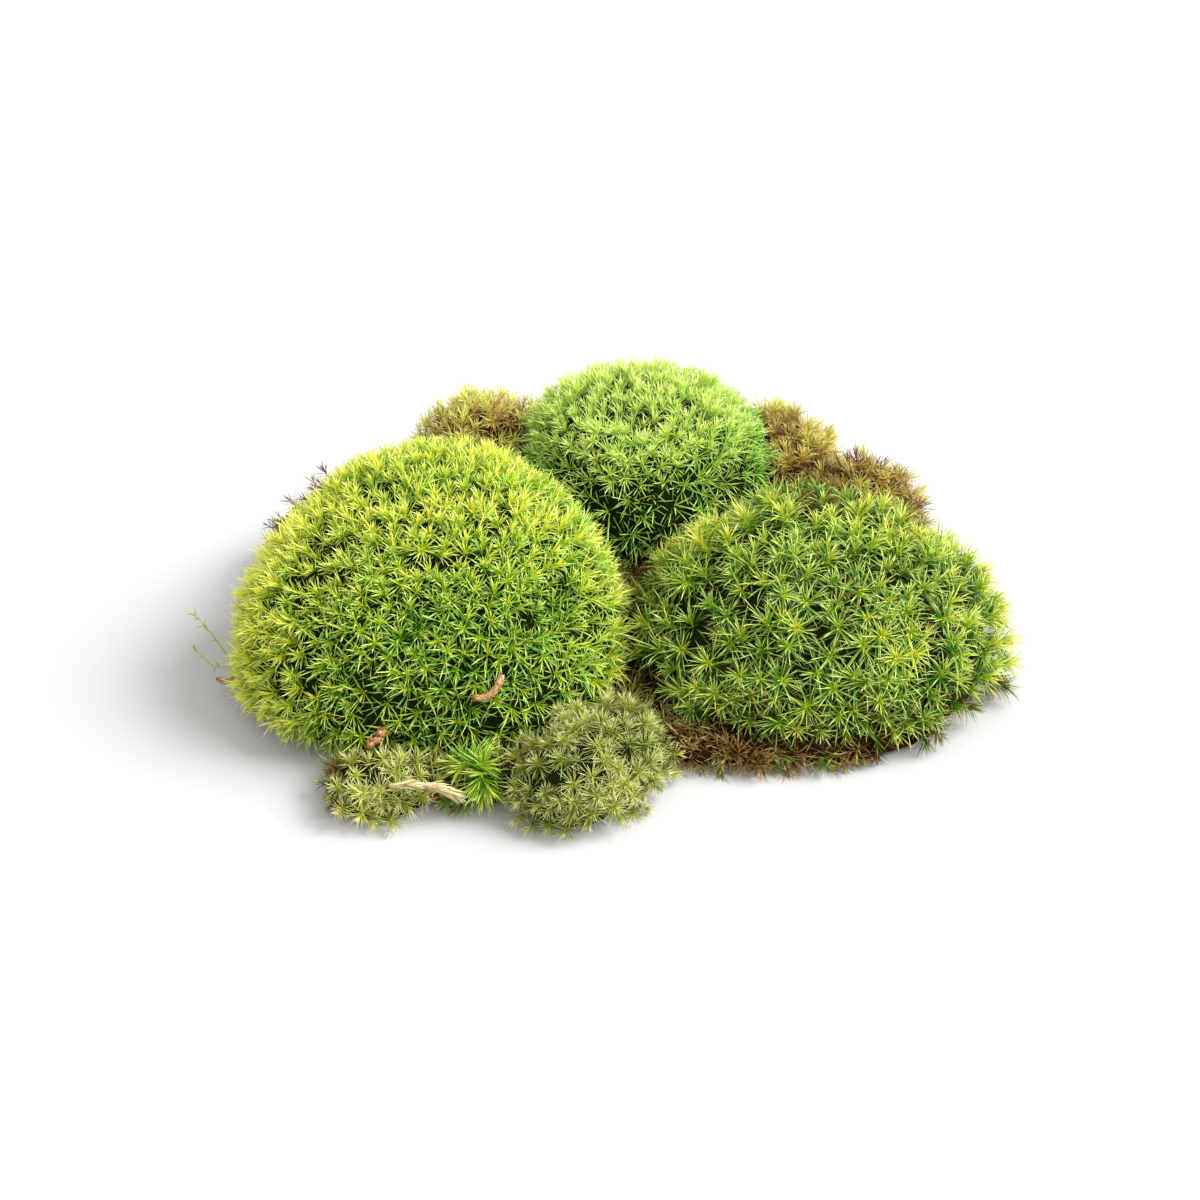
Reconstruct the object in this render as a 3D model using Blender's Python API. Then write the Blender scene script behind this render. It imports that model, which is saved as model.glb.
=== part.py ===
"""A clump of cushion moss, lifted from the ground with the brown mat that it grows on.

Three plump cushions and a few smaller tufts stand on a low mat of rootlets, dead stems and humus. Each
cushion is a solid that reaches its leaf tips. Loose bits of litter lie on top, and two thin sprigs of
another moss trail out on the left. Units are metres, +Z is up, +X is right and -Y is the front.
"""

from math import atan2, cos, hypot, pi, radians, sin

import bmesh
import bpy
from mathutils import Vector, noise
from mathutils.bvhtree import BVHTree

MM = 0.001

GAP = 0.35 * MM            # air between pieces that touch
MAT_TOP = 6.0 * MM         # thickness of the mat under the cushions
MAT_RISE = 1.5 * MM        # how much higher the mat is in its middle
HEM = 0.8 * MM             # how far the cushions' hems hang above the ground
WIDEST_AT = 0.10           # share of a cushion's height at which it is widest
FOOT_SHARE = 0.93          # radius at the foot of a cushion, as a share of its widest
BUMP_SPACING = 17 * MM     # typical distance between the soft lumps on a cushion
MAT_SEGMENTS = 84


def clear_scene():
    for obj in list(bpy.data.objects):
        bpy.data.objects.remove(obj, do_unlink=True)


def material(name, colour, roughness):
    mat = bpy.data.materials.new(name)
    mat.use_nodes = True
    shader = mat.node_tree.nodes["Principled BSDF"]
    shader.inputs["Base Color"].default_value = (*colour, 1.0)
    shader.inputs["Roughness"].default_value = roughness
    shader.inputs["Metallic"].default_value = 0.0
    return mat


def add_object(name, data, mat, root):
    obj = bpy.data.objects.new(name, data)
    data.materials.append(mat)
    bpy.context.scene.collection.objects.link(obj)
    obj.parent = root
    return obj


def outline_radius(radii, angle):
    """An outline's radius at an angle, on a smooth closed curve through evenly spaced radii from +X."""
    place = (angle % (2 * pi)) / (2 * pi) * len(radii)
    step, t = int(place), place - int(place)
    a, b, c, d = (radii[(step + k) % len(radii)] for k in (-1, 0, 1, 2))
    return b + 0.5 * t * (c - a + t * (2 * a - 5 * b + 4 * c - d + t * (3 * b - a - 3 * c + d)))


# --- the mat ---------------------------------------------------------------------------------------

# Radius of the mat every 30 degrees, from +X round by the back, about its middle.
MAT_MIDDLE = (8 * MM, 12 * MM)
MAT_RADII = [r * MM for r in (102, 92, 88, 86, 88, 86, 92, 97, 90, 60, 71, 97)]
# Each level of the mat's edge: share of that radius, and height.
MAT_LEVELS = ((0.965, 0.0), (0.995, 1.6 * MM), (1.0, 3.4 * MM), (0.97, 5.2 * MM), (0.91, MAT_TOP))
RAGGED_EDGE = 3.2 * MM
RAGGED_SPACING = 14 * MM


def build_mat(name, grow=0.0):
    """The mat, or with grow the space that its neighbours leave for it."""
    bm = bmesh.new()
    rings = []
    for share, height in MAT_LEVELS:
        lift = 0 if height == 0 else grow
        ring = []
        for i in range(MAT_SEGMENTS):
            angle = 2 * pi * i / MAT_SEGMENTS
            smooth = outline_radius(MAT_RADII, angle)
            spot = Vector((smooth * cos(angle), smooth * sin(angle), 0)) / RAGGED_SPACING
            radius = share * (smooth + RAGGED_EDGE * noise.noise(spot)) + grow
            ring.append(bm.verts.new((
                MAT_MIDDLE[0] + radius * cos(angle),
                MAT_MIDDLE[1] + radius * sin(angle),
                height + lift,
            )))
        rings.append(ring)
    for low, high in zip(rings, rings[1:]):
        for i in range(MAT_SEGMENTS):
            j = (i + 1) % MAT_SEGMENTS
            bm.faces.new((low[i], low[j], high[j], high[i]))
    bm.faces.new(list(reversed(rings[0])))
    crown = bm.verts.new((*MAT_MIDDLE, MAT_TOP + MAT_RISE + grow))
    for i in range(MAT_SEGMENTS):
        bm.faces.new((rings[-1][i], rings[-1][(i + 1) % MAT_SEGMENTS], crown))
    if grow:
        bmesh.ops.translate(bm, verts=rings[0], vec=(0, 0, -2 * MAT_TOP))
    data = bpy.data.meshes.new(name)
    bm.to_mesh(data)
    bm.free()
    return data


# --- cushions and tufts ----------------------------------------------------------------------------

class Cushion:
    """A dome of moss: where its middle stands, its outline and its height to the leaf tips.

    radii are the outline's, evenly spaced from +X round by the back. crown is how far the top lies from
    over the middle. fullness is 2 for an ellipsoid and more for a plumper dome. bump is the height of
    the soft lumps, and detail is the icosphere's number of subdivisions.
    """

    def __init__(self, name, middle, radii, height, crown=(0, 0), fullness=2.1, bump=1.4, detail=4):
        self.name = name
        self.middle = Vector((middle[0] * MM, middle[1] * MM, 0))
        self.radii = [radius * MM for radius in radii]
        self.height = height * MM
        self.crown = Vector((crown[0] * MM, crown[1] * MM))
        self.fullness = fullness
        self.bump = bump * MM
        self.detail = detail

    def place(self, direction, grow):
        """Where the unit sphere's point in this direction goes on the dome's surface."""
        around, up = hypot(direction.x, direction.y), direction.z
        drop = (self.height - HEM) * WIDEST_AT
        upper = self.height - HEM - drop
        lower = drop / (1 - FOOT_SHARE**self.fullness) ** (1 / self.fullness)
        size = (around**self.fullness + abs(up)**self.fullness) ** (-1 / self.fullness)
        angle = atan2(direction.y, direction.x)
        reach = around * size * (outline_radius(self.radii, angle) + grow)
        rise = up * size * ((upper if up > 0 else lower) + grow)
        shift = self.crown * max(0.0, up * size) ** 2
        out = Vector((reach * cos(angle), reach * sin(angle), 0))
        spot = self.middle + out + Vector((shift.x, shift.y, HEM + drop + rise))
        outward = out + Vector((0, 0, rise + 0.3 * self.height))
        return spot + outward.normalized() * self.bump * noise.fractal(spot / BUMP_SPACING, 1.0, 2.0, 2)

    def mesh(self, grow=0.0):
        bm = bmesh.new()
        bmesh.ops.create_icosphere(bm, subdivisions=self.detail, radius=1.0)
        for vertex in bm.verts:
            vertex.co = self.place(vertex.co.normalized(), grow)
        cut = bmesh.ops.bisect_plane(
            bm, geom=bm.verts[:] + bm.edges[:] + bm.faces[:], dist=1e-7,
            plane_co=(0, 0, HEM - 2 * grow), plane_no=(0, 0, -1), clear_outer=True)
        rim = [e for e in cut["geom_cut"] if isinstance(e, bmesh.types.BMEdge)]
        bmesh.ops.edgeloop_fill(bm, edges=rim)
        bmesh.ops.recalc_face_normals(bm, faces=bm.faces[:])
        data = bpy.data.meshes.new(self.name)
        bm.to_mesh(data)
        bm.free()
        return data


# Each one is cut to fit against those before it.
CUSHIONS = [
    Cushion("cushion_left", (-47, 5), (56, 52, 48, 49, 47, 47, 55, 61, 60, 57, 61, 60), 57, crown=(1, 7)),
    Cushion("cushion_right", (62, 1), (55, 54, 53, 52, 52, 54, 57, 56, 52, 49, 53, 56), 42, crown=(-3, 5)),
    Cushion("cushion_back", (14, 70), (43, 39, 38, 42, 42, 40), 44, crown=(-4, 0), fullness=2.6),
    Cushion("tuft_front", (-4, -54), (25, 27, 15, 22, 27, 21), 24, bump=1.8, detail=3),
    Cushion("tuft_front_left", (-56, -60), (15, 14, 17, 20, 16, 14), 13, bump=1.6, detail=3),
    Cushion("tuft_front_middle", (-31.5, -59), (8, 9, 9, 8, 8, 8), 15, bump=0.8, detail=3),
    Cushion("tuft_rear_left", (-36, 81), (35, 24, 20, 23, 28, 38), 33.5, bump=2.2, detail=3),
    Cushion("tuft_rear_right", (55, 79), (20, 18, 22, 28, 30, 26), 30, bump=2.2, detail=3),
    Cushion("tuft_far_right", (79, 56), (18, 17, 20, 26, 28, 22), 27, bump=2.2, detail=3),
    Cushion("old_growth_left", (-70, 36), (33, 29, 24, 24, 26, 31), 27, bump=2.0, detail=3),
]
MOSS_COLOURS = {
    "cushion_left": (0.20, 0.36, 0.05),
    "cushion_right": (0.18, 0.34, 0.05),
    "cushion_back": (0.16, 0.38, 0.07),
    "tuft_front": (0.32, 0.40, 0.16),
    "tuft_front_left": (0.36, 0.38, 0.15),
    "tuft_front_middle": (0.22, 0.34, 0.07),
    "tuft_rear_left": (0.34, 0.28, 0.08),
    "tuft_rear_right": (0.34, 0.25, 0.07),
    "tuft_far_right": (0.24, 0.16, 0.06),
    "old_growth_left": (0.20, 0.12, 0.05),
}


def cut_from(obj, data):
    """Takes the shape in data, which is a neighbour grown by the gap, out of obj."""
    cutter = bpy.data.objects.new("cutter_" + data.name, data)
    bpy.context.scene.collection.objects.link(cutter)
    cutter.parent = obj.parent
    cutter.hide_render = True
    cutter.display_type = "WIRE"
    cut = obj.modifiers.new("fit_against_" + data.name, "BOOLEAN")
    cut.operation = "DIFFERENCE"
    cut.solver = "EXACT"
    cut.object = cutter


def near(one, other):
    """True if two cushions may touch."""
    reach = max(one.radii) + max(other.radii) + 4 * MM
    return (one.middle - other.middle).length < reach


def build_cushions(root):
    mat_room = build_mat("mat_room", GAP)
    for i, cushion in enumerate(CUSHIONS):
        moss = material(cushion.name, MOSS_COLOURS[cushion.name], 0.8)
        obj = add_object(cushion.name, cushion.mesh(), moss, root)
        obj.data.shade_smooth()
        cut_from(obj, mat_room)
        for other in CUSHIONS[:i]:
            if near(cushion, other):
                cut_from(obj, other.mesh(GAP))


# --- litter and sprigs -----------------------------------------------------------------------------

def surface_tree(*names):
    """Something that rays can be cast at: these pieces as they are after their cuts."""
    graph = bpy.context.evaluated_depsgraph_get()
    points, faces = [], []
    for name in names:
        mesh = bpy.data.objects[name].evaluated_get(graph).to_mesh()
        start = len(points)
        points += [v.co.copy() for v in mesh.vertices]
        faces += [[start + i for i in f.vertices] for f in mesh.polygons]
    return BVHTree.FromPolygons(points, faces)


def lying(points, radii, tree):
    """The middle line of a thin piece that lies on a surface, from (x, y, rise) points in mm, end to end."""
    line = []
    for (x, y, rise), radius in zip(points, radii):
        spot, normal, _, _ = tree.ray_cast(Vector((x * MM, y * MM, 1.0)), Vector((0, 0, -1)))
        line.append(spot + normal * (radius * MM + GAP) + Vector((0, 0, rise * MM)))
    return line


def round_piece(name, line, radii, colour, root, roundness=3, roughness=0.8):
    """A solid of round section along a line, with a radius in mm at each point."""
    curve = bpy.data.curves.new(name, "CURVE")
    curve.dimensions = "3D"
    curve.bevel_depth = 1.0
    curve.bevel_resolution = roundness
    curve.use_fill_caps = True
    spline = curve.splines.new("POLY")
    spline.points.add(len(line) - 1)
    for point, place, radius in zip(spline.points, line, radii):
        point.co = (*place, 1.0)
        point.radius = radius * MM
    return add_object(name, curve, material(name, colour, roughness), root)


def smooth_line(points, steps):
    """Points along a Catmull-Rom curve through these points, with this many to each stretch."""
    padded = [2 * points[0] - points[1], *points, 2 * points[-1] - points[-2]]
    line = []
    for i in range(1, len(padded) - 2):
        a, b, c, d = padded[i - 1:i + 3]
        for k in range(steps):
            t = k / steps
            line.append(0.5 * (2 * b + (c - a) * t + (2 * a - 5 * b + 4 * c - d) * t**2
                               + (3 * b - a - 3 * c + d) * t**3))
    return [*line, points[-1].copy()]


def in_metres(points):
    return [Vector(point) * MM for point in points]


def swelling(count, thick, ends):
    """Radii that are thickest in the middle, and ends at both ends."""
    return [ends + (thick - ends) * sin(pi * i / (count - 1)) ** 0.6 for i in range(count)]


# Middle lines in mm. The scale's points are (x, y, rise over the moss) and the others' are (x, y, z).
BARK_SCALE_ROUTE = [(-34.2, -47.3, 0), (-33.2, -47.45, 0), (-31.9, -47.4, 0), (-30.6, -47.05, 0),
                    (-29.4, -46.6, 0), (-28.3, -46.1, 0.1), (-27.5, -45.5, 0.2), (-26.9, -44.8, 0.3),
                    (-26.5, -44.1, 0.4)]
BUD_SCRAP_ROUTE = [(-61.8, -57.5, 14.9), (-60.8, -56.5, 15.3), (-59.8, -55.5, 15.9), (-58.8, -54.5, 16.6),
                   (-57.8, -53.6, 17.2)]
DEAD_STEM_ROUTE = [(-56, -69.6, 12.4), (-52.4, -69.0, 12.4), (-48.8, -68.4, 12.0), (-45.2, -68.0, 11.2),
                   (-42.4, -67.8, 10.3), (-40.6, -67.6, 9.2), (-39.2, -67.8, 7.8)]
SPRIG_ROUTES = {
    "sprig_upper": [(-104.6, -8, 5.7), (-106.6, -7.5, 9.8), (-109.2, -7, 14.2), (-111.2, -6.6, 17.4),
                    (-113.4, -6.2, 20.0)],
    "sprig_lower": [(-104.8, -10.4, 4.6), (-106.8, -10.6, 4.3), (-108.6, -10.4, 4.5), (-110.2, -10, 6.0),
                    (-113.0, -9.6, 9.8)],
}
SPRIG_RADIUS = 0.42
HUSK_MIDDLE = (-104.9, -15.9, 4.8)
HUSK_SIZE = (1.8, 0.7, 1.1)        # how far its curl swings along X, Y and Z
REDDISH_BROWN = (0.42, 0.20, 0.10)
TAN = (0.52, 0.27, 0.12)
STRAW = (0.50, 0.40, 0.18)
YELLOW_GREEN = (0.38, 0.46, 0.14)


def build_litter(root):
    """Loose bits that lie on the moss: a curled bud scale, a scrap of bud, and a crooked dead stem."""
    radii = swelling(len(BARK_SCALE_ROUTE), 1.15, 0.45)
    line = lying(BARK_SCALE_ROUTE, radii, surface_tree("cushion_left"))
    round_piece("bark_scale", line, radii, TAN, root)
    line = in_metres(BUD_SCRAP_ROUTE)
    round_piece("bud_scrap", line, swelling(len(line), 1.4, 0.6), REDDISH_BROWN, root)
    line = smooth_line(in_metres(DEAD_STEM_ROUTE), 3)
    round_piece("dead_stem", line, swelling(len(line), 1.75, 0.8), STRAW, root)


def build_sprigs(root):
    """Two thin stems of another moss that trail out of the left cushion, and a curled husk under them."""
    for name, route in SPRIG_ROUTES.items():
        line = smooth_line(in_metres(route), 4)
        radii = [SPRIG_RADIUS * (1 - 0.5 * i / (len(line) - 1)) for i in range(len(line))]
        round_piece(name, line, radii, YELLOW_GREEN, root, roundness=2, roughness=0.6)
    curl = []
    for turn in range(160, 381, 22):
        swing = (cos(radians(turn)), sin(radians(turn)), sin(radians(turn)))
        curl.append([at + size * part for at, size, part in zip(HUSK_MIDDLE, HUSK_SIZE, swing)])
    round_piece("seed_husk", in_metres(curl), swelling(len(curl), 0.75, 0.35), TAN, root, roundness=2)


def centre_on_base(root):
    """Moves the clump so that the origin is under the middle of its box."""
    graph = bpy.context.evaluated_depsgraph_get()
    low, high = [1.0, 1.0], [-1.0, -1.0]
    for obj in root.children:
        if obj.hide_render:
            continue
        shape = obj.evaluated_get(graph)
        mesh = shape.to_mesh()
        for vertex in mesh.vertices:
            for axis in (0, 1):
                low[axis] = min(low[axis], vertex.co[axis])
                high[axis] = max(high[axis], vertex.co[axis])
        shape.to_mesh_clear()
    root.location = (-(low[0] + high[0]) / 2, -(low[1] + high[1]) / 2, 0)


def main():
    clear_scene()
    root = bpy.data.objects.new("moss_clump", None)
    bpy.context.scene.collection.objects.link(root)
    add_object("base_mat", build_mat("base_mat"), material("base_mat", (0.10, 0.06, 0.03), 0.95), root)
    build_cushions(root)
    bpy.context.view_layer.update()
    build_litter(root)
    build_sprigs(root)
    bpy.context.view_layer.update()
    centre_on_base(root)


main()
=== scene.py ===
"""The looks of a clump of cushion moss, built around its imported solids.

Each cushion and tuft is a thicket of shoots that grow out of a dark core. A shoot is a thin stem with
leaves set round it in a spiral, young and upright at its tip, older and wider open lower down. A shoot's
place and direction come from the CAD solid, whose surface the leaf tips reach. Sizes are in metres, and
the tables of settings that are in millimetres say so.
"""

from math import cos, pi, radians, sin

import bpy
import numpy as np
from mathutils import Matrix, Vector
from mathutils.bvhtree import BVHTree


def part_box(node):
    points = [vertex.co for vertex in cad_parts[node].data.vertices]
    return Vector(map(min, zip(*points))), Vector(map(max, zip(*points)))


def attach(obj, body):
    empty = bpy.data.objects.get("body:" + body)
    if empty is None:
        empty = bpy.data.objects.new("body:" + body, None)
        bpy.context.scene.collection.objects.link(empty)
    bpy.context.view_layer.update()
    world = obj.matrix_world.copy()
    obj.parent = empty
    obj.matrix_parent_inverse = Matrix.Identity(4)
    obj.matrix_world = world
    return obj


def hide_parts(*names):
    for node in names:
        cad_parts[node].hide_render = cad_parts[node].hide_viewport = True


MM = 0.001
GOLDEN_TURN = radians(137.5)
UP = np.array([0.0, 0.0, 1.0])
ASIDE = (0.3, 0.2, 1.0)    # a direction that neither litter nor a sprig runs along
LEAF_UV = "OFBake"         # the materials read a leaf's colours from a UV map of this name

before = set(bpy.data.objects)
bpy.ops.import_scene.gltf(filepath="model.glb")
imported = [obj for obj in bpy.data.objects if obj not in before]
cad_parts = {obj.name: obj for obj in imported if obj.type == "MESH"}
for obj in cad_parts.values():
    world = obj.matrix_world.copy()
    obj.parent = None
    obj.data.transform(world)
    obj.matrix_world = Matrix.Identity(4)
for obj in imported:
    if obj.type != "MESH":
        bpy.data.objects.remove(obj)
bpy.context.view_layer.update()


# --- arrays and noise --------------------------------------------------------------------------------

WAVES = 9                  # waves that are added up to make soft noise
WAVE_LENGTHS = (1.1, 2.4)  # their shortest and longest, as shares of the distance between hills
HILL = 1.6                 # how many standard deviations make a hill of height 1


def unit(vectors):
    return vectors / (np.linalg.norm(vectors, axis=-1, keepdims=True) + 1e-12)


def sideways(axes, rng):
    """Two unit vectors square to each axis and to each other."""
    first = unit(np.cross(axes, unit(rng.normal(size=axes.shape))))
    return first, np.cross(axes, first)


def soft_noise(points, spacing, seed):
    """Smooth noise of about -1 to 1 at points, with hills about this far apart."""
    rng = np.random.default_rng(seed)
    total = np.zeros(points.shape[:-1])
    for _ in range(WAVES):
        way = unit(rng.normal(size=3))
        pace = 2 * pi / (spacing * rng.uniform(*WAVE_LENGTHS))
        total += np.sin(points @ way * pace + rng.uniform(0, 2 * pi))
    return total / np.sqrt(WAVES / 2) / HILL


def smooth_step(low, high, value):
    """0 up to low, 1 from high, and a smooth rise between them."""
    t = np.clip((value - low) / (high - low), 0, 1)
    return t * t * (3 - 2 * t)


def vary(rng, amount, lowest, highest, shape):
    """Random factors near 1, with this standard deviation and these limits."""
    return np.clip(rng.normal(1, amount, shape), lowest, highest)


# --- meshes from arrays ------------------------------------------------------------------------------

# Materials read a leaf's colours from its UVs: U is the place along it, V is its shade.
DARKEST, PALEST = 0.1, 0.99
UV_EDGE = 0.02             # how far U stays from 0 at a leaf's base, and from 1 at its tip
SHADE_ACROSS = 0.004       # how much a leaf's shade changes from its middle to its edge


class Builder:
    """Collects bits of mesh, with faces and UVs, for one object."""

    def __init__(self):
        self.points, self.corners, self.sizes, self.uvs, self.materials = [], [], [], [], []
        self.count = 0

    def add(self, points, faces, uvs, material=0):
        """Adds points (n, 3) with uvs (n, 2), and faces, a list of index arrays (m, 3) or (m, 4)."""
        for face in faces:
            self.corners.append((face + self.count).ravel())
            self.sizes.append(np.full(len(face), face.shape[1]))
            self.uvs.append(uvs[face.ravel()])
            self.materials.append(np.full(len(face), material))
        self.points.append(points)
        self.count += len(points)

    def make(self, node, slot, *materials):
        """Makes the piece that stands in for a CAD node."""
        mesh = bpy.data.meshes.new(node + "_look")
        points, corners = np.concatenate(self.points), np.concatenate(self.corners)
        sizes = np.concatenate(self.sizes)
        mesh.vertices.add(len(points))
        mesh.vertices.foreach_set("co", points.astype(np.float32).ravel())
        mesh.loops.add(len(corners))
        mesh.loops.foreach_set("vertex_index", corners.astype(np.int32))
        mesh.polygons.add(len(sizes))
        starts = np.concatenate(([0], np.cumsum(sizes)[:-1]))
        mesh.polygons.foreach_set("loop_start", starts.astype(np.int32))
        mesh.polygons.foreach_set("loop_total", sizes.astype(np.int32))
        mesh.polygons.foreach_set("use_smooth", np.ones(len(sizes), bool))
        mesh.polygons.foreach_set("material_index", np.concatenate(self.materials).astype(np.int32))
        layer = mesh.uv_layers.new(name=LEAF_UV)
        layer.data.foreach_set("uv", np.concatenate(self.uvs).astype(np.float32).ravel())
        mesh.update(calc_edges=True)
        for material in materials:
            mesh.materials.append(material)
        piece = bpy.data.objects.new(node + "_look", mesh)
        bpy.context.scene.collection.objects.link(piece)
        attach(piece, "root")
        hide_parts(node)
        print(f"{node}: {int((sizes - 2).sum())} triangles")


def repeat_faces(shape, count, stride):
    """The faces of one part, repeated for count parts of stride points each."""
    starts = (np.arange(count) * stride)[:, None, None]
    return (np.array(shape)[None] + starts).reshape(-1, len(shape[0]))


def add_alike(build, rows, uvs, shade, shapes):
    """Adds many parts of the same shape.

    rows has the parts' points, row by row. uvs has a row's place along a leaf and its step in shade from
    the part's own. shapes has the faces of one part, as indexes of rows.
    """
    points = np.stack(rows, axis=1)
    uv = np.empty(points.shape[:2] + (2,))
    for i, (at, step) in enumerate(uvs):
        uv[:, i, 0] = at
        uv[:, i, 1] = np.clip(shade, DARKEST, PALEST) + step
    faces = [repeat_faces(shape, *points.shape[:2]) for shape in shapes]
    build.add(points.reshape(-1, 3), faces, uv.reshape(-1, 2))


# A leaf blade: its sections before the tip, as (place along it, width there as a share of the widest).
SHORT_BLADE = ((0.0, 0.80), (0.62, 1.0))
LONG_BLADE = ((0.0, 0.75), (0.38, 1.0), (0.74, 0.66))
CHANNEL = 0.5              # how deep a blade is folded, as a share of its half-width


def add_leaves(build, base, axis, out, length, width, spread, bend, roll, shade, blade):
    """Adds leaves, each an arched, channelled blade that tapers to a point.

    Each array has one entry for each leaf. A leaf starts at base, leaves its stem's axis at the angle
    spread in the direction out, and bends by bend more along its length. roll twists it, and shade
    picks its colours from the palette.
    """
    side = np.cross(axis, out)
    places = [at for at, _ in blade] + [1.0]
    spot = base
    rows, uvs = [], []
    for i, (at, share) in enumerate(blade):
        angle = (spread + bend * at)[:, None]
        along = np.cos(angle) * axis + np.sin(angle) * out
        across = side * np.cos(roll)[:, None] + np.cross(along, side) * np.sin(roll)[:, None]
        half = 0.5 * share * width[:, None]
        sink = np.cross(across, along) * half * CHANNEL
        rows += [spot - across * half - sink, spot, spot + across * half - sink]
        u = UV_EDGE + (1 - 2 * UV_EDGE) * at
        uvs += [(u, -SHADE_ACROSS * share), (u, 0.0), (u, SHADE_ACROSS * share)]
        step = places[i + 1] - at
        angle = (spread + bend * (at + step / 2))[:, None]
        spot = spot + length[:, None] * step * (np.cos(angle) * axis + np.sin(angle) * out)
    rows.append(spot)
    uvs.append((1 - UV_EDGE, 0.0))
    quads = []
    for i in range(len(blade) - 1):
        a = 3 * i
        quads += [(a, a + 1, a + 4, a + 3), (a + 1, a + 2, a + 5, a + 4)]
    last = 3 * (len(blade) - 1)
    tris = [(last, last + 1, last + 3), (last + 1, last + 2, last + 3)]
    add_alike(build, rows, uvs, shade, (quads, tris))


# Rings of a stem below its tip: (place down it, thickness as a share of the full one, U).
STEM_RINGS = ((0.25, 0.8, 0.04), (1.0, 1.0, 0.14))
STEM_TIP_U = 0.5
STEM_SEED = 7


def add_stems(build, tips, axes, length, radius, shade):
    """Adds a three-sided tapered stem below each tip."""
    first, second = sideways(axes, np.random.default_rng(STEM_SEED))
    rows, uvs = [tips], [(STEM_TIP_U, 0.0)]
    for down, thick, u in STEM_RINGS:
        for k in range(3):
            turn = 2 * pi * k / 3
            ring = (first * cos(turn) + second * sin(turn)) * radius * thick
            rows.append(tips - axes * (length * down)[:, None] + ring)
            uvs.append((u, SHADE_ACROSS / 2 * (k - 1)))
    tris = [(0, 1 + k, 1 + (k + 1) % 3) for k in range(3)]
    quads = [(1 + k, 4 + k, 4 + (k + 1) % 3, 1 + (k + 1) % 3) for k in range(3)]
    add_alike(build, rows, uvs, shade, (tris, quads))


TUBE_U = (0.05, 0.95)      # at a tube's first and last points
TUBE_SHADE_ROUND = 0.01    # how much its shade changes round it


def add_tube(build, line, radii, shade, sides=8):
    """Adds a round tube along a line, closed at both ends."""
    line = np.asarray(line)
    along = unit(np.gradient(line, axis=0))
    first = unit(np.cross(along, ASIDE))
    second = np.cross(along, first)
    turns = np.linspace(0, 2 * pi, sides, endpoint=False)
    rings = line[:, None] + np.asarray(radii)[:, None, None] * (
        np.cos(turns)[None, :, None] * first[:, None] + np.sin(turns)[None, :, None] * second[:, None])
    count = len(line)
    points = np.concatenate((rings.reshape(-1, 3), line[:1], line[-1:]))
    uv = np.empty((len(points), 2))
    uv[:-2, 0] = np.repeat(np.linspace(*TUBE_U, count), sides)
    uv[:-2, 1] = shade + TUBE_SHADE_ROUND * np.tile(np.cos(turns), count)
    uv[-2:] = ((UV_EDGE, shade), (1 - UV_EDGE, shade))
    k = np.arange(sides)
    after = (k + 1) % sides
    quads = np.concatenate([
        np.stack((i * sides + k, (i + 1) * sides + k, (i + 1) * sides + after, i * sides + after), axis=1)
        for i in range(count - 1)])
    start, end = np.full(sides, count * sides), np.full(sides, count * sides + 1)
    top = (count - 1) * sides
    first_cap = np.stack((start, k, after), axis=1)
    last_cap = np.stack((end, top + after, top + k), axis=1)
    build.add(points, [quads, np.concatenate((first_cap, last_cap))], uv)


# --- the CAD solids ----------------------------------------------------------------------------------

def triangles(node):
    """A CAD node's corner points (n, 3) and triangles (m, 3)."""
    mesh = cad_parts[node].data
    mesh.calc_loop_triangles()
    points = np.empty(len(mesh.vertices) * 3, np.float32)
    mesh.vertices.foreach_get("co", points)
    corners = np.empty(len(mesh.loop_triangles) * 3, np.int32)
    mesh.loop_triangles.foreach_get("vertices", corners)
    return points.reshape(-1, 3).astype(float), corners.reshape(-1, 3)


def node_box(node):
    low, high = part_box(node)
    return np.array(low), np.array(high)


def places_in_box(node, spots):
    """Where spots are in a node's box, as shares of its width, depth and height."""
    low, high = node_box(node)
    return ((spots - low) / (high - low)).T


def neighbour_tree(node):
    """All the other CAD nodes, to see what lies over this one."""
    points, faces = [], []
    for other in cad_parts:
        if other != node:
            p, t = triangles(other)
            faces += (t + len(points)).tolist()
            points += p.tolist()
    return BVHTree.FromPolygons(points, faces)


RAYS = 18                  # cast from each spot to see how open it is
RAY_LIFT = 0.3             # how far rays are turned up
RAY_SPREAD = 0.6
RAY_START = 0.2            # millimetres above the surface
RAY_REACH = 30 * MM
GROUND_DEPTH = 4 * MM      # a ray that ends deeper than this has hit the ground


def openness(spots, normals, tree, rng):
    """The share of the sky over each spot that neighbours and the ground leave open."""
    share = np.zeros(len(spots))
    for _ in range(RAYS):
        ways = unit(normals + RAY_LIFT * UP + rng.normal(size=normals.shape) * RAY_SPREAD)
        for i, way in enumerate(ways):
            start = spots[i] + normals[i] * RAY_START * MM
            in_ground = start[2] + way[2] * RAY_REACH < -GROUND_DEPTH
            share[i] += not in_ground and tree.ray_cast(Vector(start), Vector(way), RAY_REACH)[0] is None
    return share / RAYS


TRIES = 9                  # random points for each square of the wanted spacing
ROOM = 0.88                # how far apart spots are at least, as a share of the spacing
UNEVEN_ROOM = 0.15         # how much this varies, from place to place
ROOM_HILLS = 9 * MM
ROOM_SEED = 5
CELL = 1.4                 # side of a cell of the search grid, in spacings
LOWEST_NORMAL = -0.7       # nothing grows where a normal's Z is below this
LEAST_OPEN = 0.05          # nor where less of the sky is open


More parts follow.
